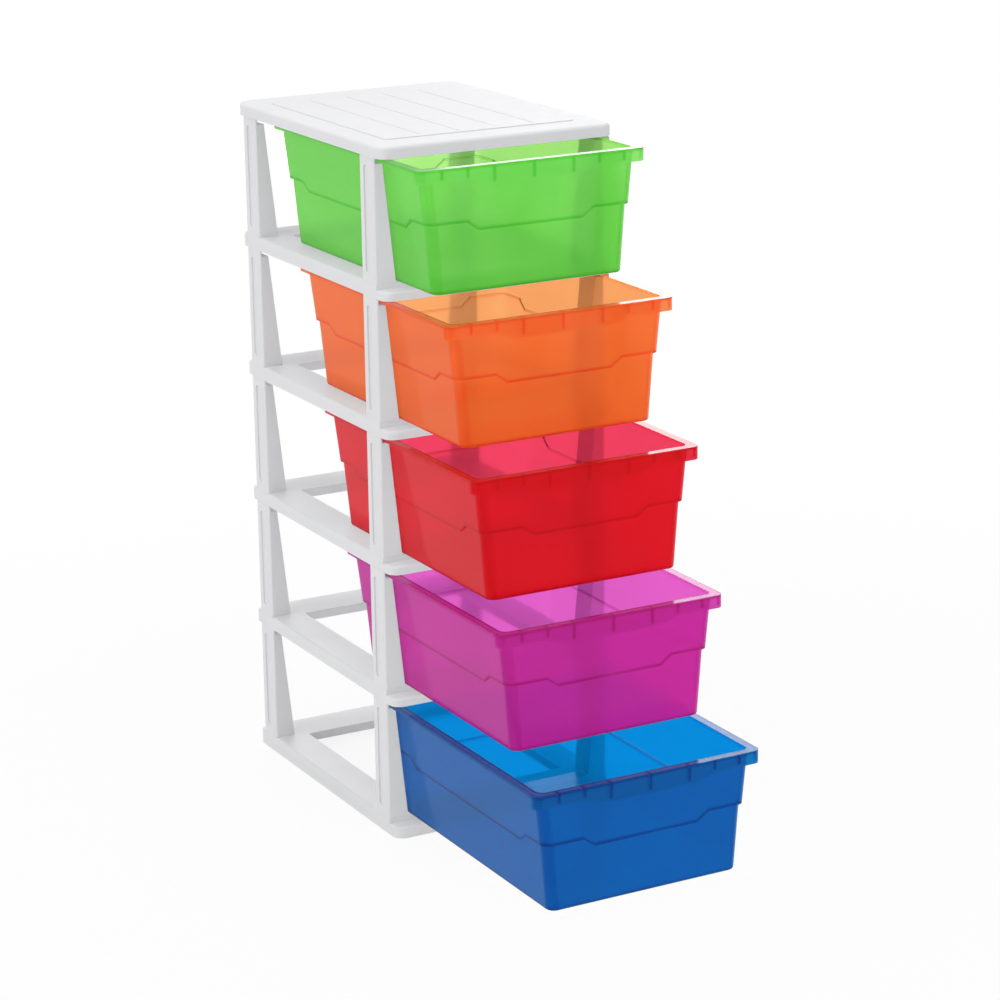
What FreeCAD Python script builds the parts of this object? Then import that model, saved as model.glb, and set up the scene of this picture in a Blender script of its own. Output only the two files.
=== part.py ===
import FreeCAD, Part
import math
import os
from types import SimpleNamespace

import Sketcher

# A tall drawer storage unit: a white frame of one top panel, four shelf frames, one base frame and
# twenty posts, with five pull-out drawers. Millimetres, +Z up, front towards -Y. The origin is on the
# floor, in the middle of the base frame.

SIZES = [
    # The frame as a whole
    ("tower_width", 296, "outer width, post side to post side"),
    ("post_span", 349, "front faces of the front posts to rear faces of the rear posts"),
    ("front_reach", 20.5, "frames and top panel reach past the front posts"),
    ("rear_reach", 13, "frames reach past the rear posts"),
    ("tier_pitch", 160, "underside of one frame to underside of the next"),
    # Shelf frames and base frame
    ("rail_height", 16.4, "height of a shelf frame at its side rails"),
    ("ledge_height", 10.5, "height of the front ledge"),
    ("base_rise", 3.3, "the base frame is taller than a shelf frame"),
    ("rail_width", 41.2, "side of the tower to the opening"),
    ("end_rail_width", 41.8, "outer faces of the posts to the opening, front and rear"),
    ("inner_skirt", 10.4, "depth of the skirt round the opening"),
    ("skin", 2.5, "wall of every frame and of the top panel"),
    ("corner_round", 14, "front corner radius of frames and top panel"),
    ("rear_corner_round", 7, "rear corner radius of the frames"),
    ("edge_round", 2.5, "rounding of a frame's top edge"),
    ("frame_rib", 2, "thickness of the ribs under frames and top"),
    # Top panel
    ("top_height", 14.2, "height of the top panel at its border"),
    ("top_overhang", 1.5, "top panel past the sides of the tower"),
    ("top_rear_reach", 21, "top panel reaches past the rear posts"),
    ("top_rear_round", 20, "rear corner radius of the top panel"),
    ("top_edge_round", 4, "rounding of the top panel's edge"),
    ("field_height", 1, "raised field over the border"),
    ("field_side", 26.7, "side of the tower to the raised field"),
    ("field_end", 21, "outer faces of the posts to the raised field, front and rear"),
    ("field_round", 5, "corner radius of the raised field"),
    ("ridge_width", 2.4, "fine ridge on the field"),
    ("ridge_height", 0.3, "ridge over the field"),
    ("ridge_end", 10, "ridge end to the end of the field"),
    # Posts
    ("post_depth", 35, "post, front to rear"),
    ("foot_width", 24.8, "front face of a post at its foot"),
    ("head_width", 11.1, "front face of a post under its notch"),
    ("web", 2.6, "what the notch leaves of the post"),
    ("notch_height", 7.2, "notch that the drawer rim runs through"),
    ("post_wall", 2, "wall of the hollow post"),
    ("post_round", 4, "rounding of the outer upright edges"),
    ("groove_width", 8, "groove in the outer side"),
    ("groove_depth", 1.5, "groove in the outer side"),
    ("groove_end", 11, "groove end to post end"),
    ("groove_rear", 10, "groove to the rear edge of the post"),
    ("groove_round", 3.6, "rounding of the groove's ends"),
    # Joints between posts and frames
    ("fit_gap", 0.15, "clearance of tongues and bosses, each side"),
    ("tongue_skin", 1.1, "frame wall outside a tongue"),
    ("tongue_thick", 1.3, "tongue on top of a post"),
    ("tongue_height", 8, "tongue on top of a post"),
    ("tongue_inset", 4, "tongue to the post's front and rear face"),
    ("slot_back", 2.4, "frame wall inside a tongue"),
    ("boss_width", 15, "boss inside the foot of a post"),
    ("boss_height", 8, "boss inside the foot of a post"),
    # Drawers
    ("rear_gap", 6, "closed drawer to the rear edge of the frames"),
    ("slide_gap", 0.4, "drawer over the side rails"),
    ("top_gap", 1, "drawer rim under the frame above"),
    ("rim_inset", 4, "outer side of the tower to the rim's edge"),
    ("rim_edge", 4.2, "height of the rim's turned-down edge"),
    ("rim_thick", 2, "thickness of the rim's top"),
    ("rim_edge_thick", 1.8, "thickness of the turned-down edge and lip"),
    ("rim_round", 9, "corner radius of the rim"),
    ("wall", 2, "wall and bottom of a drawer"),
    ("wall_round", 11, "upright corner radius of a drawer"),
    ("bottom_round", 3, "rounding between walls and bottom"),
    ("head_gap", 1.2, "drawer wall to the head of a post"),
    ("foot_gap", 2.5, "drawer wall to the foot of a post"),
    ("joggle", 2.6, "upper part of the walls stands proud of the lower"),
    ("step_height", 68.6, "drawer bottom to the step, mid wall"),
    ("step_rise", 10, "step is higher at the corners"),
    ("step_half", 66, "low part of the step, front and rear, half"),
    ("step_ramp", 14, "ramp of the step"),
    ("step_end", 50, "high part of the step along a side wall"),
    ("front_set", 7.5, "front wall behind the face of the lip"),
    ("front_draft", 0.8, "draft of each part of the front wall"),
    ("rear_set", 2.5, "rear wall in front of the rim's rear edge"),
    ("rear_draft", 4.5, "draft of each part of the rear wall"),
    ("lip_height", 15, "lip at its ends"),
    ("lip_drop", 7, "lip is deeper in the middle"),
    ("lip_half", 57, "deep part of the lip, half"),
    ("lip_ramp", 26, "ramp of the lip"),
    ("lip_wrap", 13.7, "lip along the sides"),
    ("lip_rib", 1.8, "ribs between lip and front wall"),
    ("lip_rib_near", 50, "first pair of ribs from the middle"),
    ("lip_rib_next", 83, "second pair of ribs"),
    ("lip_rib_far", 115, "third pair of ribs"),
    # How much of each pulled-out drawer is still behind the front edge of the frames
    ("kept_length_green", 296.5, "top drawer"),
    ("kept_length_orange", 235, "second drawer"),
    ("kept_length_red", 180, "third drawer"),
    ("kept_length_magenta", 129.5, "fourth drawer"),
    ("kept_length_blue", 51.5, "bottom drawer"),
    # One overrun for every cut
    ("overrun", 5, "cuts run past the solid by this"),
]

DRAWERS = ["green", "orange", "red", "magenta", "blue"]   # from the top tier down
TIERS = len(DRAWERS)
SIDE_RIB_SHARES = (-0.66, -0.22, 0.22, 0.66)   # of the opening's half length
END_RIB_SHARES = (-0.5, 0.0, 0.5)              # of the opening's half width
RIDGE_SHARES = (-0.6, -0.2, 0.2, 0.6)          # of the raised field's half width
TOP_RIB_SHARES = (-0.6, -0.2, 0.2, 0.6)        # of the tower's half width or the posts' half span

V = FreeCAD.Vector
UP = V(0, 0, 1)
REARWARD = V(0, 1, 0)
SIDEWARD = V(1, 0, 0)

doc = FreeCAD.newDocument("drawer_storage_unit")


class Size:
    """A size worked out from the sheet: its number, and the expression that binds it."""

    def __init__(self, number, text):
        self.number = number
        self.text = text

    def joined(self, sign, other, number):
        text = other.text if isinstance(other, Size) else repr(other)
        return Size(number, "(%s %s %s)" % (self.text, sign, text))

    def __add__(self, other):
        return self.joined("+", other, self.number + number_of(other))

    def __sub__(self, other):
        return self.joined("-", other, self.number - number_of(other))

    def __mul__(self, other):
        return self.joined("*", other, self.number * number_of(other))

    def __truediv__(self, other):
        return self.joined("/", other, self.number / number_of(other))

    def __neg__(self):
        return Size(-self.number, "(0 - %s)" % self.text)


def number_of(value):
    return value.number if isinstance(value, Size) else value


ZERO = Size(0, "0")


def fill_sheet():
    sheet = doc.addObject("Spreadsheet::Sheet", "sizes")
    for row, (alias, value, meaning) in enumerate(SIZES, start=1):
        sheet.set("A%d" % row, meaning)
        sheet.set("B%d" % row, str(value))
        sheet.setAlias("B%d" % row, alias)
    doc.recompute()
    return SimpleNamespace(**{alias: Size(float(value), "sizes." + alias) for alias, value, _ in SIZES})


s = fill_sheet()

# Places that several pieces share
half_width = s.tower_width / 2
half_span = s.post_span / 2
front_edge = -half_span - s.front_reach
rear_edge = half_span + s.rear_reach
post_height = s.tier_pitch - s.rail_height
slant = (s.foot_width - s.head_width) / (post_height - s.notch_height)
top_level = s.base_rise + s.tier_pitch * TIERS
tower_height = top_level + s.top_height + s.field_height + s.ridge_height


# Sketches

def bind(thing, name, size):
    thing.setExpression(name, size.text)


def place(thing, x=ZERO, y=ZERO, z=ZERO, turn=FreeCAD.Rotation()):
    thing.Placement = FreeCAD.Placement(V(x.number, y.number, z.number), turn)
    for axis, size in (("x", x), ("y", y), ("z", z)):
        bind(thing, "Placement.Base." + axis, size)


def constrain(sketch, kind, *parts, size):
    index = sketch.addConstraint(Sketcher.Constraint(kind, *parts, size.number))
    name = "size_%d" % index
    sketch.renameConstraint(index, name)
    bind(sketch, "Constraints." + name, size)


def pin(sketch, line, x, y):
    """Holds the start of a line at a place measured from the sketch's origin."""
    for kind, size, axis in (("DistanceX", x, -2), ("DistanceY", y, -1)):
        if size is ZERO:
            sketch.addConstraint(Sketcher.Constraint("PointOnObject", line, 1, axis))
        else:
            constrain(sketch, kind, -1, 1, line, 1, size=size)


def draw_polygon(sketch, points):
    first = sketch.GeometryCount
    count = len(points)
    corners = [V(x.number, y.number, 0) for x, y in points]
    for i in range(count):
        sketch.addGeometry(Part.LineSegment(corners[i], corners[(i + 1) % count]))
    for i in range(count):
        sketch.addConstraint(Sketcher.Constraint("Coincident", first + i, 2, first + (i + 1) % count, 1))
    for i, (x, y) in enumerate(points):
        pin(sketch, first + i, x, y)


def draw_rectangle(sketch, left, right, low, high):
    draw_polygon(sketch, [(left, low), (right, low), (right, high), (left, high)])


def draw_rounded(sketch, left, right, low, high, radius, high_radius=None):
    """A rectangle with rounded corners: line, arc, line, arc and so on, from the low side round. Its
    high corners may have a radius of their own."""
    first = sketch.GeometryCount
    x0, x1, y0, y1, r = (v.number for v in (left, right, low, high, radius))
    q = high_radius.number if high_radius else r
    ends = [(V(x0 + r, y0, 0), V(x1 - r, y0, 0)), (V(x1, y0 + r, 0), V(x1, y1 - q, 0)),
            (V(x1 - q, y1, 0), V(x0 + q, y1, 0)), (V(x0, y1 - q, 0), V(x0, y0 + r, 0))]
    corners = [(V(x1 - r, y0 + r, 0), r), (V(x1 - q, y1 - q, 0), q), (V(x0 + q, y1 - q, 0), q),
               (V(x0 + r, y0 + r, 0), r)]
    quarter = math.pi / 2
    for i in range(4):
        sketch.addGeometry(Part.LineSegment(*ends[i]))
        circle = Part.Circle(corners[i][0], UP, corners[i][1])
        sketch.addGeometry(Part.ArcOfCircle(circle, (i - 1) * quarter, i * quarter))
    for i in range(8):
        sketch.addConstraint(Sketcher.Constraint("Tangent", first + i, 2, first + (i + 1) % 8, 1))
    for i, kind in ((0, "Horizontal"), (2, "Vertical"), (4, "Horizontal"), (6, "Vertical")):
        sketch.addConstraint(Sketcher.Constraint(kind, first + i))
    for one, other in ((1, 7), (3, 5)):
        sketch.addConstraint(Sketcher.Constraint("Equal", first + one, first + other))
    constrain(sketch, "Radius", first + 1, size=radius)
    constrain(sketch, "Radius", first + 3, size=high_radius or radius)
    constrain(sketch, "DistanceX", -1, 1, first + 6, 1, size=left)
    constrain(sketch, "DistanceX", -1, 1, first + 2, 1, size=right)
    constrain(sketch, "DistanceY", -1, 1, first, 1, size=low)
    constrain(sketch, "DistanceY", -1, 1, first + 4, 1, size=high)


# Features of a PartDesign body

def new_body(name):
    return doc.addObject("PartDesign::Body", name)


def new_sketch(body, name, role, offset=ZERO):
    """A sketch on one of the body's own planes, moved along that plane's normal."""
    sketch = body.newObject("Sketcher::SketchObject", name)
    plane = next(f for f in body.Origin.OriginFeatures if f.Role == role)
    sketch.AttachmentSupport = [(plane, "")]
    sketch.MapMode = "FlatFace"
    sketch.AttachmentOffset = FreeCAD.Placement(V(0, 0, offset.number), FreeCAD.Rotation())
    bind(sketch, "AttachmentOffset.Base.z", offset)
    return sketch


def extrude(body, kind, sketch, length, flipped):
    feature = body.newObject("PartDesign::" + kind, sketch.Name + "_" + kind.lower())
    feature.Profile = sketch
    feature.Length = length.number
    bind(feature, "Length", length)
    feature.Reversed = flipped
    before = feature.BaseFeature.Shape.Volume if feature.BaseFeature else 0
    doc.recompute()
    grown = feature.Shape.Volume - before
    if (grown > 0) != (kind == "Pad") or grown == 0:
        raise ValueError("%s of %s changed nothing, or the wrong way" % (kind, sketch.Name))
    return feature


def pad(body, sketch, length, flipped=False):
    return extrude(body, "Pad", sketch, length, flipped)


def pocket(body, sketch, length, flipped=False):
    return extrude(body, "Pocket", sketch, length, flipped)


def round_edges(body, name, radius, chosen):
    base = body.Tip
    names = ["Edge%d" % i for i, edge in enumerate(base.Shape.Edges, start=1) if chosen(edge)]
    feature = body.newObject("PartDesign::Fillet", name)
    feature.Base = (base, names)
    feature.Radius = radius.number
    bind(feature, "Radius", radius)
    doc.recompute()
    return feature


def middle(edge):
    return edge.valueAt((edge.FirstParameter + edge.LastParameter) / 2)


def at_height(edge, height):
    return abs(edge.BoundBox.ZMin - height.number) + abs(edge.BoundBox.ZMax - height.number) < 0.01


def is_outer(edge):
    """True for an edge on the outline of a frame."""
    place_of = middle(edge)
    past_side = half_width.number - abs(place_of.x)
    past_end = min(place_of.y - front_edge.number, rear_edge.number - place_of.y)
    return min(past_side, past_end) < s.corner_round.number / 2 and not is_step(edge)


def is_step(edge):
    box = edge.BoundBox
    return box.YLength < 0.01 and abs(abs(box.YMin) - half_span.number) < 0.01


def copy_of(form, name, x=ZERO, y=ZERO, z=ZERO, turn=FreeCAD.Rotation()):
    """A body of its own with the shape of a form, at its own place."""
    body = new_body(name)
    feature = body.newObject("PartDesign::FeatureBase", name + "_shape")
    feature.BaseFeature = form
    body.Tip = feature
    place(body, x, y, z, turn)
    return body


# Posts: the outer side is the plane x = 0, the front face y = 0, the foot z = 0

def make_post_form():
    body = new_body("post_form")
    shoulder = post_height - s.notch_height

    outline = new_sketch(body, "post_outline", "XZ_Plane")
    draw_polygon(outline, [(ZERO, ZERO), (s.foot_width, ZERO), (s.head_width, shoulder),
                           (s.web, shoulder), (s.web, post_height), (ZERO, post_height)])
    pad(body, outline, s.post_depth, flipped=True)

    def is_outer_upright(edge):
        place_of = middle(edge)
        return abs(place_of.x) < 0.01 and edge.BoundBox.ZLength > post_height.number * 0.9

    round_edges(body, "post_rounding", s.post_round * 0.5, is_outer_upright)

    inner_side = s.groove_depth + s.post_wall
    hollow = new_sketch(body, "post_hollow", "XZ_Plane", -s.post_wall)
    draw_polygon(hollow, [(inner_side, ZERO), (s.foot_width - s.post_wall, ZERO),
                          (s.head_width - s.post_wall, shoulder - s.post_wall),
                          (inner_side, shoulder - s.post_wall)])
    pocket(body, hollow, s.post_depth - s.post_wall * 2)

    groove = new_sketch(body, "post_groove", "YZ_Plane")
    groove_high = s.post_depth - s.groove_rear
    draw_rounded(groove, groove_high - s.groove_width, groove_high, s.groove_end,
                 post_height - s.groove_end, s.groove_round)
    pocket(body, groove, s.groove_depth, flipped=True)

    tongue = new_sketch(body, "post_tongue", "XY_Plane", post_height)
    draw_rectangle(tongue, s.tongue_skin, s.tongue_skin + s.tongue_thick,
                   s.tongue_inset, s.post_depth - s.tongue_inset)
    pad(body, tongue, s.tongue_height)
    return body


# Frames: shelf frames, base frame, and what the top panel shares with them

def draw_at_posts(sketch, outer, inner, front, rear):
    """Four rectangles, one at each post: outer and inner count from the side of the tower, front and
    rear from the front face of the post, as on the post itself, which is turned on the right side."""
    for end in (-1, 1):
        post_front = -half_span if end < 0 else half_span - s.post_depth
        post_rear = post_front + s.post_depth
        draw_rectangle(sketch, -half_width + outer, -half_width + inner,
                       post_front + front, post_front + rear)
        draw_rectangle(sketch, half_width - inner, half_width - outer,
                       post_rear - rear, post_rear - front)


def add_tongue_slots(body, name, overhang=ZERO):
    """Blocks inside the skirt with a slot for each tongue of the posts below."""
    slot_inner = s.tongue_skin + s.tongue_thick + s.fit_gap
    slot_depth = s.tongue_height + s.fit_gap * 2
    block = new_sketch(body, name + "_slot_block", "XY_Plane")
    draw_at_posts(block, s.skin * 0.5 - overhang, slot_inner + s.slot_back,
                  s.tongue_inset * 0.5, s.post_depth - s.tongue_inset * 0.5)
    pad(body, block, slot_depth + s.slot_back)
    slot = new_sketch(body, name + "_slot", "XY_Plane")
    draw_at_posts(slot, s.tongue_skin - s.fit_gap, slot_inner,
                  s.tongue_inset - s.fit_gap, s.post_depth - s.tongue_inset + s.fit_gap)
    pocket(body, slot, slot_depth, flipped=True)


def make_frame(name, rise, takes_posts_below):
    """A rectangular ring, open below, with a lower ledge along its front. Its height is that of a shelf
    frame and its rise."""
    full_height = s.rail_height + rise
    ledge_top = s.ledge_height + rise
    body = new_body(name)
    outline = new_sketch(body, name + "_outline", "XY_Plane")
    draw_rounded(outline, -half_width, half_width, front_edge, rear_edge,
                 s.corner_round, s.rear_corner_round)
    pad(body, outline, full_height)

    ledge = new_sketch(body, name + "_ledge", "XY_Plane", full_height)
    draw_rectangle(ledge, -half_width - s.overrun, half_width + s.overrun,
                   front_edge - s.overrun, -half_span)
    pocket(body, ledge, s.rail_height - s.ledge_height)

    def is_top_outline(edge):
        return is_outer(edge) and (at_height(edge, full_height) or at_height(edge, ledge_top))

    round_edges(body, name + "_rounding", s.edge_round, is_top_outline)

    seat = new_sketch(body, name + "_post_seat", "XY_Plane", full_height)
    draw_at_posts(seat, ZERO, s.foot_width, ZERO, s.post_depth)
    pad(body, seat, s.edge_round * 2, flipped=True)

    open_x = half_width - s.rail_width
    open_y = half_span - s.end_rail_width
    opening = new_sketch(body, name + "_opening", "XY_Plane")
    draw_rectangle(opening, -open_x, open_x, -open_y, open_y)
    pocket(body, opening, full_height + s.overrun, flipped=True)

    channel = new_sketch(body, name + "_channel", "XY_Plane")
    draw_rectangle(channel, -half_width + s.skin, half_width - s.skin,
                   -half_span + s.skin, half_span - s.skin)
    draw_rectangle(channel, -open_x - s.skin, open_x + s.skin, -open_y - s.skin, open_y + s.skin)
    pocket(body, channel, full_height - s.skin, flipped=True)

    skirt_cut = new_sketch(body, name + "_skirt_cut", "XY_Plane")
    draw_rectangle(skirt_cut, -open_x - s.skin * 1.5, open_x + s.skin * 1.5,
                   -open_y - s.skin * 1.5, open_y + s.skin * 1.5)
    pocket(body, skirt_cut, full_height - s.inner_skirt, flipped=True)

    ledge_hollow = new_sketch(body, name + "_ledge_hollow", "XY_Plane")
    for near, far in ((front_edge + s.skin, -half_span), (half_span, rear_edge - s.skin)):
        draw_rectangle(ledge_hollow, -half_width + s.corner_round, half_width - s.corner_round, near, far)
    pocket(body, ledge_hollow, ledge_top - s.skin, flipped=True)

    ribs = new_sketch(body, name + "_ribs", "XY_Plane", full_height - s.inner_skirt)
    rail_in, rail_out = open_x + s.skin * 0.5, half_width - s.skin * 0.5
    end_in, end_out = open_y + s.skin * 0.5, half_span - s.skin * 0.5
    for share in SIDE_RIB_SHARES:
        low, high = open_y * share - s.frame_rib / 2, open_y * share + s.frame_rib / 2
        draw_rectangle(ribs, -rail_out, -rail_in, low, high)
        draw_rectangle(ribs, rail_in, rail_out, low, high)
    for share in END_RIB_SHARES:
        low, high = open_x * share - s.frame_rib / 2, open_x * share + s.frame_rib / 2
        draw_rectangle(ribs, low, high, -end_out, -end_in)
        draw_rectangle(ribs, low, high, end_in, end_out)
    pad(body, ribs, s.inner_skirt - s.skin * 0.5)

    inner_side = s.groove_depth + s.post_wall + s.fit_gap
    boss = new_sketch(body, name + "_boss", "XY_Plane", full_height)
    draw_at_posts(boss, inner_side, inner_side + s.boss_width,
                  s.post_wall + s.fit_gap, s.post_depth - s.post_wall - s.fit_gap)
    pad(body, boss, s.boss_height)

    if takes_posts_below:
        add_tongue_slots(body, name)
    return body


def make_top_panel():
    """A closed panel with a raised field and fine ridges, hollow and ribbed below."""
    side = half_width + s.top_overhang
    rear = half_span + s.top_rear_reach
    body = new_body("top_panel")
    outline = new_sketch(body, "top_outline", "XY_Plane")
    draw_rounded(outline, -side, side, front_edge, rear, s.corner_round, s.top_rear_round)
    pad(body, outline, s.top_height)

    def is_top_outline(edge):
        return at_height(edge, s.top_height)

    round_edges(body, "top_rounding", s.top_edge_round, is_top_outline)

    field_x = half_width - s.field_side
    field_y = half_span - s.field_end
    field = new_sketch(body, "top_field", "XY_Plane", s.top_height)
    draw_rounded(field, -field_x, field_x, -field_y, field_y, s.field_round)
    pad(body, field, s.field_height)

    ridges = new_sketch(body, "top_ridges", "XY_Plane", s.top_height + s.field_height)
    for share in RIDGE_SHARES:
        draw_rounded(ridges, field_x * share - s.ridge_width / 2, field_x * share + s.ridge_width / 2,
                     -field_y + s.ridge_end, field_y - s.ridge_end, s.ridge_width * 0.45)
    pad(body, ridges, s.ridge_height)

    hollow = new_sketch(body, "top_hollow", "XY_Plane")
    draw_rounded(hollow, -side + s.skin, side - s.skin, front_edge + s.skin, rear - s.skin,
                 s.corner_round - s.skin, s.top_rear_round - s.skin)
    pocket(body, hollow, s.top_height - s.skin, flipped=True)

    lengthwise = new_sketch(body, "top_ribs_lengthwise", "XY_Plane", s.skin)
    for share in TOP_RIB_SHARES:
        draw_rectangle(lengthwise, half_width * share - s.frame_rib / 2,
                       half_width * share + s.frame_rib / 2, front_edge + s.skin * 0.5, rear - s.skin * 0.5)
    pad(body, lengthwise, s.top_height - s.skin * 1.5)
    crosswise = new_sketch(body, "top_ribs_crosswise", "XY_Plane", s.skin)
    for share in TOP_RIB_SHARES:
        draw_rectangle(crosswise, -side + s.skin * 0.5, side - s.skin * 0.5,
                       half_span * share - s.frame_rib / 2, half_span * share + s.frame_rib / 2)
    pad(body, crosswise, s.top_height - s.skin * 1.5)

    add_tongue_slots(body, "top", s.top_overhang)
    return body


# Drawers: the middle of the width is x = 0, the face of the lip y = 0, the underside z = 0

drawer_length = rear_edge - front_edge - s.rear_gap
drawer_height = post_height - s.slide_gap - s.top_gap
rim_half = half_width - s.rim_inset
step_high = s.step_height + s.step_rise


def upper_wall(z):
    """Half width, front and rear of the upper part's outside, at a height."""
    down = drawer_height - z
    share_down = down / (drawer_height - s.step_height)
    return (half_width - s.head_width - s.head_gap - slant * down,
            s.front_set + s.front_draft * share_down,
            drawer_length - s.rear_set - s.rear_draft * share_down)


def lower_wall(z):
    """The same for the lower part, which starts a joggle further in and ends near the post's foot."""
    top_half, top_front, top_rear = upper_wall(step_high)
    bottom_half = half_width - s.foot_width - s.foot_gap
    share_up = z / step_high
    half = bottom_half + (top_half - s.joggle - bottom_half) * share_up
    front = top_front + s.joggle + s.front_draft - s.front_draft * share_up
    rear = top_rear - s.joggle - s.rear_draft + s.rear_draft * share_up
    return half, front, rear


def free_sketch(name, x=ZERO, y=ZERO, z=ZERO, turn=FreeCAD.Rotation()):
    sketch = doc.addObject("Sketcher::SketchObject", name)
    place(sketch, x, y, z, turn)
    return sketch


FACING_FRONT = FreeCAD.Rotation(SIDEWARD, 90)   # sketch x is X, sketch y is Z
FACING_SIDE = FreeCAD.Rotation(V(1, 1, 1), 120)   # sketch x is Y, sketch y is Z


def section(name, outline, z, inset, radius):
    half, front, rear = outline
    sketch = free_sketch(name, z=z)
    draw_rounded(sketch, -half + inset, half - inset, front + inset, rear - inset, radius)
    return sketch


def loft(name, low_section, high_section):
    thing = doc.addObject("Part::Loft", name)
    thing.Sections = [low_section, high_section]
    thing.Solid = True
    thing.Ruled = True
    return thing


def extrusion(name, sketch, direction, length):
    thing = doc.addObject("Part::Extrusion", name)
    thing.Base = sketch
    thing.DirMode = "Custom"
    thing.Dir = direction
    thing.LengthFwd = length.number
    bind(thing, "LengthFwd", length)
    thing.Solid = True
    return thing


def cut(name, base, tool):
    thing = doc.addObject("Part::Cut", name)
    thing.Base = base
    thing.Tool = tool
    return thing


def fuse(name, *things):
    thing = doc.addObject("Part::MultiFuse", name)
    thing.Shapes = list(things)
    return thing


def common(name, first, second):
    thing = doc.addObject("Part::Common", name)
    thing.Base = first
    thing.Tool = second
    return thing


def rounded_bottom(name, base, radius):
    """The same solid with its lowest edges rounded."""
    doc.recompute()
    lowest = base.Shape.BoundBox.ZMin
    thing = doc.addObject("Part::Fillet", name)
    thing.Base = base
    thing.Edges = [(i, radius.number, radius.number) for i, edge in enumerate(base.Shape.Edges, start=1)
                   if edge.BoundBox.ZMax < lowest + 0.01]
    return thing


def make_step_corners(name, lift):
    """Four blocks at the corners, with ramped sides, where the step of the walls is high."""
    low, high = s.step_height + lift, step_high + lift
    far_x = half_width + s.overrun
    across = free_sketch(name + "_across", y=-s.overrun, turn=FACING_FRONT)
    ramp_x = s.step_half + s.step_ramp
    draw_polygon(across, [(s.step_half, low), (far_x, low), (far_x, high), (ramp_x, high)])
    draw_polygon(across, [(-s.step_half, low), (-far_x, low), (-far_x, high), (-ramp_x, high)])
    along = free_sketch(name + "_along", x=-far_x, turn=FACING_SIDE)
    near, far = -s.overrun, drawer_length + s.overrun
    ramp_end = s.step_end + s.step_ramp
    draw_polygon(along, [(near, low), (ramp_end, low), (s.step_end, high), (near, high)])
    draw_polygon(along, [(far, low), (drawer_length - ramp_end, low), (drawer_length - s.step_end, high),
                         (far, high)])
    return common(name, extrusion(name + "_x", across, REARWARD, drawer_length + s.overrun * 2),
                  extrusion(name + "_y", along, SIDEWARD, far_x * 2))


def make_tub(name, inset, floor, lift, top, radius):
    """The solid inside the walls' outside, or inside their inside, with the step all round."""
    low_section = section(name + "_floor", lower_wall(floor), floor, inset, radius)
    mid_section = section(name + "_mid", lower_wall(step_high + lift), step_high + lift, inset, radius)
    lower = loft(name + "_lower", low_section, mid_section)
    step = s.step_height + lift
    step_section = section(name + "_step", upper_wall(step), step, inset, radius)
    top_section = section(name + "_top", upper_wall(top), top, inset, radius)
    upper = loft(name + "_upper", step_section, top_section)
    upper_cut = cut(name + "_upper_cut", upper, make_step_corners(name + "_corners", lift))
    return fuse(name, rounded_bottom(name + "_lower_round", lower, s.bottom_round - inset), upper_cut)


def make_rim():
    """The rim with its turned-down edge, and the lip along the front, deeper in its middle."""
    lip_full = s.lip_height + s.lip_drop
    lip_low = drawer_height - lip_full
    block_sketch = free_sketch("rim_outline", z=lip_low)
    draw_rounded(block_sketch, -rim_half, rim_half, ZERO + 0, drawer_length, s.rim_round)
    block = extrusion("rim_block", block_sketch, UP, lip_full)

    inner_sketch = free_sketch("rim_inside", z=lip_low - s.overrun)
    edge = s.rim_edge_thick
    draw_rounded(inner_sketch, -rim_half + edge, rim_half - edge, edge, drawer_length - edge,
                 s.rim_round - edge)
    inner = extrusion("rim_inner", inner_sketch, UP, lip_full - s.rim_thick + s.overrun)

    behind_sketch = free_sketch("rim_behind", z=lip_low - s.overrun)
    draw_rectangle(behind_sketch, -half_width - s.overrun, half_width + s.overrun, s.lip_wrap,
                   drawer_length + s.overrun)
    behind = extrusion("rim_behind_lip", behind_sketch, UP, lip_full - s.rim_edge + s.overrun)

    ends_sketch = free_sketch("lip_ends", y=-s.overrun, turn=FACING_FRONT)
    end_low, end_high = lip_low - s.overrun, drawer_height - s.lip_height
    far_x = half_width + s.overrun
    ramp_x = s.lip_half + s.lip_ramp
    for side in (1, -1):
        draw_polygon(ends_sketch, [(x * side, z) for x, z in (
            (s.lip_half, end_low), (far_x, end_low), (far_x, end_high), (ramp_x, end_high),
            (s.lip_half, lip_low))])
    ends = extrusion("lip_end_cut", ends_sketch, REARWARD, s.lip_wrap + s.overrun * 2)
    return cut("rim", block, fuse("rim_cuts", inner, behind, ends))


def make_lip_ribs():
    """Upright ribs that join the lip to the front wall."""
    sketch = free_sketch("lip_ribs", y=s.rim_edge_thick * 0.5, turn=FACING_FRONT)
    top = drawer_height - s.rim_thick * 0.5
    deep = drawer_height - s.lip_height - s.lip_drop + s.rim_edge_thick
    for centre in (ZERO + 0, s.lip_rib_near, -s.lip_rib_near):
        draw_rectangle(sketch, centre - s.lip_rib / 2, centre + s.lip_rib / 2, deep, top)
    for centre in (s.lip_rib_next, -s.lip_rib_next, s.lip_rib_far, -s.lip_rib_far):
        draw_rectangle(sketch, centre - s.lip_rib / 2, centre + s.lip_rib / 2, deep + s.lip_drop, top)
    return extrusion("lip_rib_row", sketch, REARWARD, s.front_set + s.wall * 0.5 - s.rim_edge_thick * 0.5)


def make_drawer_form():
    outside = make_tub("tub_outside", ZERO, ZERO + 0, ZERO, drawer_height, s.wall_round)
    inside = make_tub("tub_inside", s.wall, s.wall, s.wall, drawer_height + s.overrun, s.wall_round - s.wall)
    full = fuse("drawer_full", outside, make_rim(), make_lip_ribs())
    return cut("drawer_form", full, inside)


# The whole tower

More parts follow.
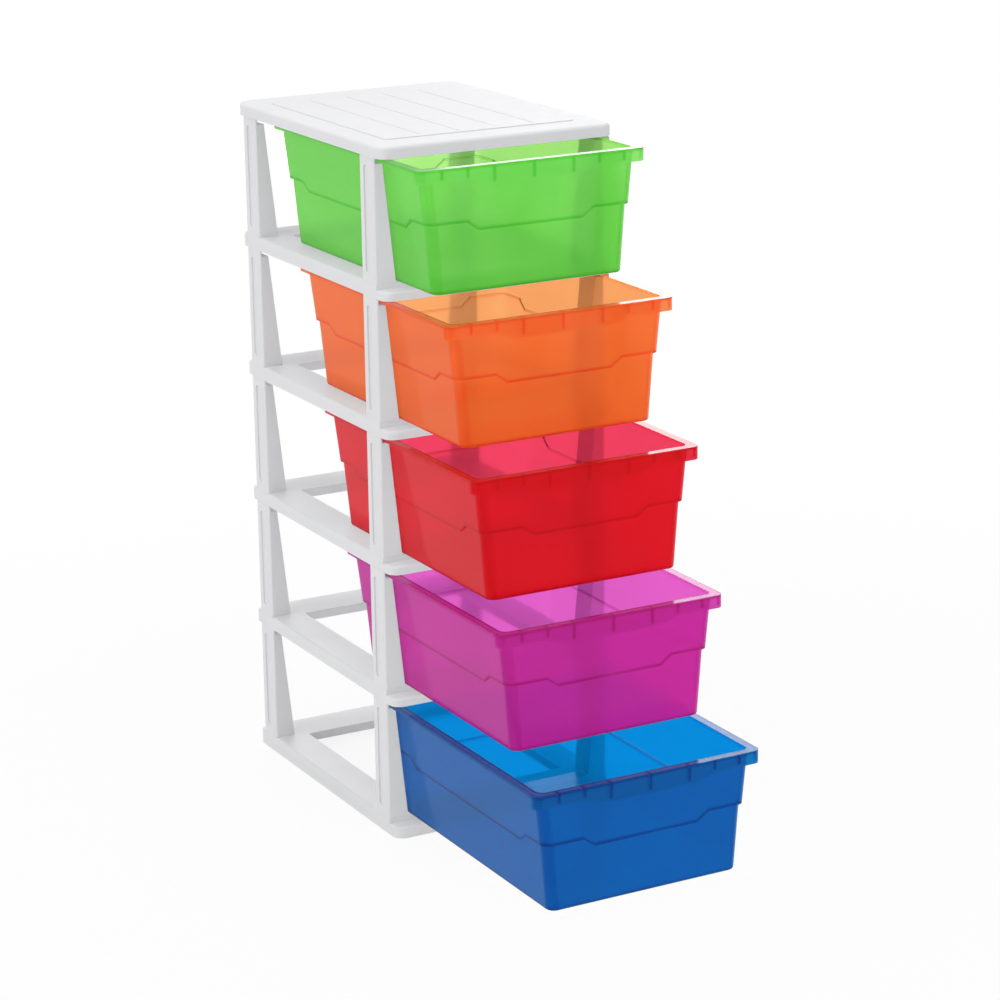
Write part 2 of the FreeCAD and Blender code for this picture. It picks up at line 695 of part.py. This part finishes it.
def build_tower():
    nodes = [make_frame("base_frame", s.base_rise, takes_posts_below=False)]
    shelf_form = make_frame("shelf_form", ZERO, takes_posts_below=True)
    post_form = make_post_form()
    drawer_form = make_drawer_form()
    doc.recompute()

    half_turn = FreeCAD.Rotation(UP, 180)
    for tier, colour in enumerate(DRAWERS, start=1):
        level = s.base_rise + s.tier_pitch * (TIERS - tier)
        if tier < TIERS:
            nodes.append(copy_of(shelf_form, "shelf_frame_%d" % tier, z=level))
        post_base = level + s.rail_height
        for end, front in (("front", -half_span), ("rear", half_span - s.post_depth)):
            nodes.append(copy_of(post_form, "post_%s_left_%d" % (end, tier),
                                 -half_width, front, post_base))
            nodes.append(copy_of(post_form, "post_%s_right_%d" % (end, tier), half_width,
                                 front + s.post_depth, post_base, half_turn))
        kept = getattr(s, "kept_length_" + colour)
        nodes.append(copy_of(drawer_form, "drawer_" + colour,
                             y=front_edge + kept - drawer_length, z=post_base + s.slide_gap))

    top_panel = make_top_panel()
    place(top_panel, z=top_level)
    nodes.append(top_panel)
    return nodes


def check(nodes):
    doc.recompute()
    for thing in doc.Objects:
        if "Invalid" in thing.State or "Error" in thing.State:
            raise ValueError("%s did not build: %s" % (thing.Name, thing.State))
    for node in nodes:
        if node.Shape.isNull() or not node.Shape.isValid() or len(node.Shape.Solids) != 1:
            raise ValueError("%s has no sound solid" % node.Label)


def write_steps(nodes):
    os.makedirs("parts", exist_ok=True)
    for node in nodes:
        node.Shape.exportStep("parts/%s.step" % node.Label)
    print("%d nodes, %.1f mm tall" % (len(nodes), tower_height.number))


tower = build_tower()
check(tower)
write_steps(tower)
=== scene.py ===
import math

import bpy
from mathutils import Matrix, Vector


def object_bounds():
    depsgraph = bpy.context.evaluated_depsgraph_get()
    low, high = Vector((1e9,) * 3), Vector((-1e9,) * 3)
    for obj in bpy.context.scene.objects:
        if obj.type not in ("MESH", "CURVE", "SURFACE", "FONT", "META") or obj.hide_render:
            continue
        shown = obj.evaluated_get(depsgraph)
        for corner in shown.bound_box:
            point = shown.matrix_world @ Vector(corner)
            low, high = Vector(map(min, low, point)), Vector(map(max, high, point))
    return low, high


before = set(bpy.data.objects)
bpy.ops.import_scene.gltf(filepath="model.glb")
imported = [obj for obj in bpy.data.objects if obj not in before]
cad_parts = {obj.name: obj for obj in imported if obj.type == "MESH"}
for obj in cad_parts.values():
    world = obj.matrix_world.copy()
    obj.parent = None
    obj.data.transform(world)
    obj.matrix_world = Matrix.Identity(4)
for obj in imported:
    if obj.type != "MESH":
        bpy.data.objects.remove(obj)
cad_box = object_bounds()

DRAWERS = ("green", "orange", "red", "magenta", "blue")

# Colours as they show on the screen, 0 to 255. CLEAR is what white turns to behind one wall of each
# drawer, and CLOUDY is the colour of the light that its plastic scatters.
CLEAR = {
    "green": (192, 238, 154),
    "orange": (254, 200, 142),
    "red": (254, 104, 140),
    "magenta": (246, 138, 228),
    "blue": (20, 180, 246),
}
CLOUDY = {
    "green": (112, 222, 84),
    "orange": (255, 106, 40),
    "red": (224, 12, 26),
    "magenta": (200, 42, 156),
    "blue": (4, 98, 162),
}
CLOUD_SHARE = 0.7       # of the light, scattered by the outer faces of a drawer
INNER_SHARE = 0.2       # of the light, scattered by its inner faces
FACE_EASE = 0.005       # metres in which one share turns into the other
WALL = 0.002            # wall of a drawer, in metres
PLAIN_WALL = 0.27       # how open a wall is from within, and how open the thickest ribs and folds are
THICK_RIB = 0.42
RIB_SHADE = 0.85        # how much deeper the colour gets there
WHITE_PLASTIC = (234, 234, 236)
FLOOR = (250, 250, 250)


def linear(rgb):
    """Screen colour, 0 to 255, to the renderer's linear colour."""
    out = []
    for value in rgb:
        c = value / 255.0
        out.append(c / 12.92 if c <= 0.04045 else ((c + 0.055) / 1.055) ** 2.4)
    return (*out, 1.0)


def grey(level):
    return (level, level, level, 1.0)


def shade(rgb, factor):
    return tuple(min(c * factor, 1.0) for c in rgb[:3]) + (1.0,)


# Materials

class Graph:
    """Short calls for the nodes of one material."""

    def __init__(self, name):
        self.material = bpy.data.materials.new(name)
        self.material.use_nodes = True
        self.tree = self.material.node_tree
        self.tree.nodes.clear()
        self.out = self.add("ShaderNodeOutputMaterial")

    def add(self, kind, **values):
        node = self.tree.nodes.new(kind)
        for key, value in values.items():
            if key in node.inputs:
                node.inputs[key].default_value = value
            else:
                setattr(node, key, value)
        return node

    def link(self, source, target):
        self.tree.links.new(source, target)

    def noise(self, scale, detail=3.0, roughness=0.5):
        where = self.add("ShaderNodeTexCoord")
        node = self.add("ShaderNodeTexNoise", Scale=scale, Detail=detail, Roughness=roughness)
        self.link(where.outputs["Object"], node.inputs["Vector"])
        return node.outputs["Fac"]

    def ramp(self, value, stops):
        node = self.add("ShaderNodeValToRGB")
        self.link(value, node.inputs["Fac"])
        ramp = node.color_ramp
        while len(ramp.elements) < len(stops):
            ramp.elements.new(0.5)
        for element, (place, colour) in zip(ramp.elements, stops):
            element.position = place
            element.color = colour
        return node.outputs["Color"]

    def map_range(self, value, start, end, first, last):
        """The value from start to end, as a number from first to last."""
        node = self.add("ShaderNodeMapRange")
        sockets = ("From Min", "From Max", "To Min", "To Max")
        for socket, number in zip(sockets, (start, end, first, last)):
            node.inputs[socket].default_value = number
        self.link(value, node.inputs["Value"])
        return node.outputs["Result"]

    def mix_shader(self, share, first, second):
        node = self.add("ShaderNodeMixShader")
        if isinstance(share, float):
            node.inputs[0].default_value = share
        else:
            self.link(share, node.inputs[0])
        self.link(first, node.inputs[1])
        self.link(second, node.inputs[2])
        return node.outputs[0]

    def times(self, first, second):
        node = self.add("ShaderNodeMath", operation="MULTIPLY")
        self.link(first, node.inputs[0])
        self.link(second, node.inputs[1])
        return node.outputs[0]

    def one_minus(self, value):
        node = self.add("ShaderNodeMath", operation="SUBTRACT")
        node.inputs[0].default_value = 1.0
        self.link(value, node.inputs[1])
        return node.outputs[0]

    def bump(self, value, distance, strength=1.0, normal=None):
        node = self.add("ShaderNodeBump", Strength=strength, Distance=distance)
        self.link(value, node.inputs["Height"])
        if normal is not None:
            self.link(normal, node.inputs["Normal"])
        return node.outputs["Normal"]


def any_ray(nodes, links, *names):
    """A socket that is 1 for rays of the named kinds."""
    rays = nodes.new("ShaderNodeLightPath")
    out = rays.outputs[names[0]]
    for name in names[1:]:
        either = nodes.new("ShaderNodeMath")
        either.operation = "MAXIMUM"
        links.new(out, either.inputs[0])
        links.new(rays.outputs[name], either.inputs[1])
        out = either.outputs[0]
    return out


def white_plastic():
    g = Graph("frame_white_plastic")
    base = linear(WHITE_PLASTIC)
    colour = g.ramp(g.noise(9.0), [(0.3, shade(base, 0.98)), (0.7, base)])
    rough = g.ramp(g.noise(60.0), [(0.3, grey(0.48)), (0.7, grey(0.56))])
    rounding = g.add("ShaderNodeBevel", samples=4, Radius=0.0008)
    normal = g.bump(g.noise(900.0, detail=2.0), 0.00002, 0.5, rounding.outputs["Normal"])
    shader = g.add("ShaderNodeBsdfPrincipled")
    shader.inputs["IOR"].default_value = 1.49
    g.link(colour, shader.inputs["Base Color"])
    g.link(rough, shader.inputs["Roughness"])
    g.link(normal, shader.inputs["Normal"])
    g.link(shader.outputs["BSDF"], g.out.inputs["Surface"])
    return g.material


def cloud_share(g, middle):
    """How much the faces scatter: more on the outside of a drawer than inside."""
    where = g.add("ShaderNodeTexCoord")
    from_middle = g.add("ShaderNodeVectorMath", operation="SUBTRACT")
    g.link(where.outputs["Object"], from_middle.inputs[0])
    from_middle.inputs[1].default_value = middle
    facing = g.add("ShaderNodeVectorMath", operation="DOT_PRODUCT")
    g.link(from_middle.outputs[0], facing.inputs[0])
    g.link(where.outputs["Normal"], facing.inputs[1])
    return g.map_range(facing.outputs["Value"], -FACE_EASE, FACE_EASE, INNER_SHARE, CLOUD_SHARE)


def darker_where_thick(g, colour):
    """The colour, deepened where the way through the plastic is longer than its wall."""
    depth = g.add("ShaderNodeAmbientOcclusion", samples=16, inside=True, only_local=True, Distance=WALL * 2)
    mix = g.add("ShaderNodeMix", data_type="RGBA", blend_type="MULTIPLY")
    g.link(g.map_range(depth.outputs["AO"], PLAIN_WALL, THICK_RIB, 0.0, RIB_SHADE), mix.inputs[0])
    g.link(colour, mix.inputs[6])
    g.link(colour, mix.inputs[7])
    return mix.outputs[2]


def clear_plastic(name, rgb, cloud_rgb, middle):
    """Coloured see-through plastic with a cloudy share, deeper in colour at ribs and folds."""
    g = Graph("drawer_%s_plastic" % name)
    tint = linear(rgb)
    glass = g.add("ShaderNodeBsdfPrincipled")
    glass.inputs["Transmission Weight"].default_value = 1.0
    glass.inputs["IOR"].default_value = 1.4
    glass.inputs["Specular Tint"].default_value = grey(0.35)
    colour = g.ramp(g.noise(7.0), [(0.3, shade(tint, 0.97)), (0.7, tint)])
    g.link(darker_where_thick(g, colour), glass.inputs["Base Color"])
    g.link(g.ramp(g.noise(30.0), [(0.3, grey(0.1)), (0.7, grey(0.14))]), glass.inputs["Roughness"])
    cloud_colour = linear(cloud_rgb)
    cloud = g.ramp(g.noise(5.0), [(0.3, shade(cloud_colour, 0.94)), (0.7, cloud_colour)])
    cloud = darker_where_thick(g, cloud)
    lit, glow = g.add("ShaderNodeBsdfDiffuse"), g.add("ShaderNodeBsdfTranslucent")
    g.link(cloud, lit.inputs["Color"])
    g.link(cloud, glow.inputs["Color"])
    cloudy = g.mix_shader(0.5, lit.outputs[0], glow.outputs[0])
    # Only light that comes from outside the plastic meets the cloudy share and the shine
    entering = g.one_minus(g.add("ShaderNodeNewGeometry").outputs["Backfacing"])
    plastic = g.mix_shader(g.times(cloud_share(g, middle), entering), glass.outputs["BSDF"], cloudy)
    shine = g.add("ShaderNodeBsdfAnisotropic", Roughness=0.12)
    edge_on = g.add("ShaderNodeLayerWeight", Blend=0.12)
    plastic = g.mix_shader(g.times(edge_on.outputs["Fresnel"], entering), plastic, shine.outputs[0])
    # Shadows and scattered light pass the plastic, or the white frame would take on its colour
    clear = g.add("ShaderNodeBsdfTransparent")
    passing = any_ray(g.tree.nodes, g.tree.links, "Is Shadow Ray", "Is Diffuse Ray")
    g.link(g.mix_shader(passing, plastic, clear.outputs[0]), g.out.inputs["Surface"])
    return g.material


def dress(node, material):
    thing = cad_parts[node]
    if not thing.material_slots:
        thing.data.materials.append(material)
    for held in thing.material_slots:
        held.material = material


white = white_plastic()
drawer_of = {}
for name in DRAWERS:
    corners = [Vector(c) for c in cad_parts["drawer_" + name].bound_box]
    middle = (corners[0] + corners[6]) / 2
    drawer_of["drawer_" + name] = clear_plastic(name, CLEAR[name], CLOUDY[name], middle)
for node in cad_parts:
    dress(node, drawer_of.get(node, white))


# Floor and background

BACKGROUND_RAYS = ("Is Camera Ray", "Is Transmission Ray", "Is Glossy Ray")
SHADOW_EASE = (0.5, 1.6)      # metres from the middle in which the shadow fades into the white
FLOOR_SHARES = (0.88, 1.0)    # of plain white in the floor, there
FLOOR_HALF = 12.0             # metres
FLOOR_GAP = 0.0005            # metres, floor under the object
WORLD_LEVEL = 0.55

# Lamps: name, place, width, height and power. The glint is what the drawers' rims mirror.
LAMPS = (
    ("overhead", (-0.3, -0.2, 2.8), 2.2, 2.2, 23),
    ("left", (-2.8, -0.2, 1.3), 1.8, 2.0, 13),
    ("front", (0.6, -3.4, 1.4), 2.0, 1.6, 8),
    ("back", (1.0, 3.0, 0.42), 2.6, 0.7, 36),
    ("glint", (2.1, 3.0, 1.55), 0.9, 0.5, 5.5),
)
LAMP_AIM = Vector((0.0, -0.15, 0.40))


def make_floor():
    """White where the camera sees it, but for the object's shadow, and a pale floor for the light."""
    g = Graph("floor_paint")
    diffuse = g.add("ShaderNodeBsdfDiffuse")
    colour = g.ramp(g.noise(2.0), [(0.0, linear(FLOOR)), (1.0, linear((253, 253, 253)))])
    g.link(colour, diffuse.inputs["Color"])
    where = g.add("ShaderNodeTexCoord")
    away = g.add("ShaderNodeVectorMath", operation="LENGTH")
    g.link(where.outputs["Object"], away.inputs[0])
    seen = any_ray(g.tree.nodes, g.tree.links, *BACKGROUND_RAYS)
    share = g.times(seen, g.map_range(away.outputs["Value"], *SHADOW_EASE, *FLOOR_SHARES))
    plain = g.add("ShaderNodeEmission", Color=grey(1.0), Strength=1.0)
    g.link(g.mix_shader(share, diffuse.outputs[0], plain.outputs[0]), g.out.inputs["Surface"])
    g.material.cycles.emission_sampling = "NONE"
    mesh = bpy.data.meshes.new("floor")
    level = cad_box[0].z - FLOOR_GAP
    half = FLOOR_HALF
    corners = [(-half, -half, level), (half, -half, level), (half, half, level), (-half, half, level)]
    mesh.from_pydata(corners, [], [(0, 1, 2, 3)])
    floor = bpy.data.objects.new("floor", mesh)
    floor.data.materials.append(g.material)
    bpy.context.collection.objects.link(floor)


def make_world(level):
    world = bpy.data.worlds.new("studio")
    bpy.context.scene.world = world
    world.use_nodes = True
    world.cycles.sampling_method = "NONE"
    nodes, links = world.node_tree.nodes, world.node_tree.links
    nodes.clear()
    out = nodes.new("ShaderNodeOutputWorld")
    light, plain = nodes.new("ShaderNodeBackground"), nodes.new("ShaderNodeBackground")
    light.inputs["Color"].default_value = plain.inputs["Color"].default_value = grey(1.0)
    light.inputs["Strength"].default_value = level
    mix = nodes.new("ShaderNodeMixShader")
    links.new(any_ray(nodes, links, *BACKGROUND_RAYS), mix.inputs[0])
    links.new(light.outputs[0], mix.inputs[1])
    links.new(plain.outputs[0], mix.inputs[2])
    links.new(mix.outputs[0], out.inputs["Surface"])


def make_lamp(name, place, width, height, power):
    data = bpy.data.lights.new(name, "AREA")
    data.shape = "RECTANGLE"
    data.size, data.size_y = width, height
    data.energy = power
    lamp = bpy.data.objects.new(name, data)
    lamp.location = place
    lamp.visible_camera = lamp.visible_transmission = False
    lamp.rotation_euler = (LAMP_AIM - Vector(place)).to_track_quat("-Z", "Y").to_euler()
    bpy.context.collection.objects.link(lamp)


make_floor()
make_world(WORLD_LEVEL)
for lamp in LAMPS:
    make_lamp(*lamp)


# Camera: solved from the photograph

FOCAL_PIXELS = 3137.2
IMAGE_PIXELS = 1000.0
SENSOR_WIDTH = 36.0     # millimetres
AZIMUTH, ELEVATION, ROLL = (math.radians(a) for a in (-28.54, 16.23, -0.79))
CAMERA_PLACE = Vector((-1.66967, -3.25498, 1.40704))


def make_camera():
    data = bpy.data.cameras.new("camera")
    data.sensor_width = SENSOR_WIDTH
    data.lens = FOCAL_PIXELS / IMAGE_PIXELS * data.sensor_width
    data.clip_start, data.clip_end = 0.05, 60.0
    back = Vector((math.sin(AZIMUTH) * math.cos(ELEVATION), -math.cos(AZIMUTH) * math.cos(ELEVATION),
                   math.sin(ELEVATION)))
    level = Vector((math.cos(AZIMUTH), math.sin(AZIMUTH), 0.0))
    upright = back.cross(level)
    right = level * math.cos(ROLL) + upright * math.sin(ROLL)
    up = back.cross(right)
    camera = bpy.data.objects.new("camera", data)
    turn = Matrix((right, up, back)).transposed().to_4x4()
    camera.matrix_world = Matrix.Translation(CAMERA_PLACE) @ turn
    bpy.context.collection.objects.link(camera)
    bpy.context.scene.camera = camera


make_camera()
bpy.context.scene.view_settings.view_transform = "Standard"
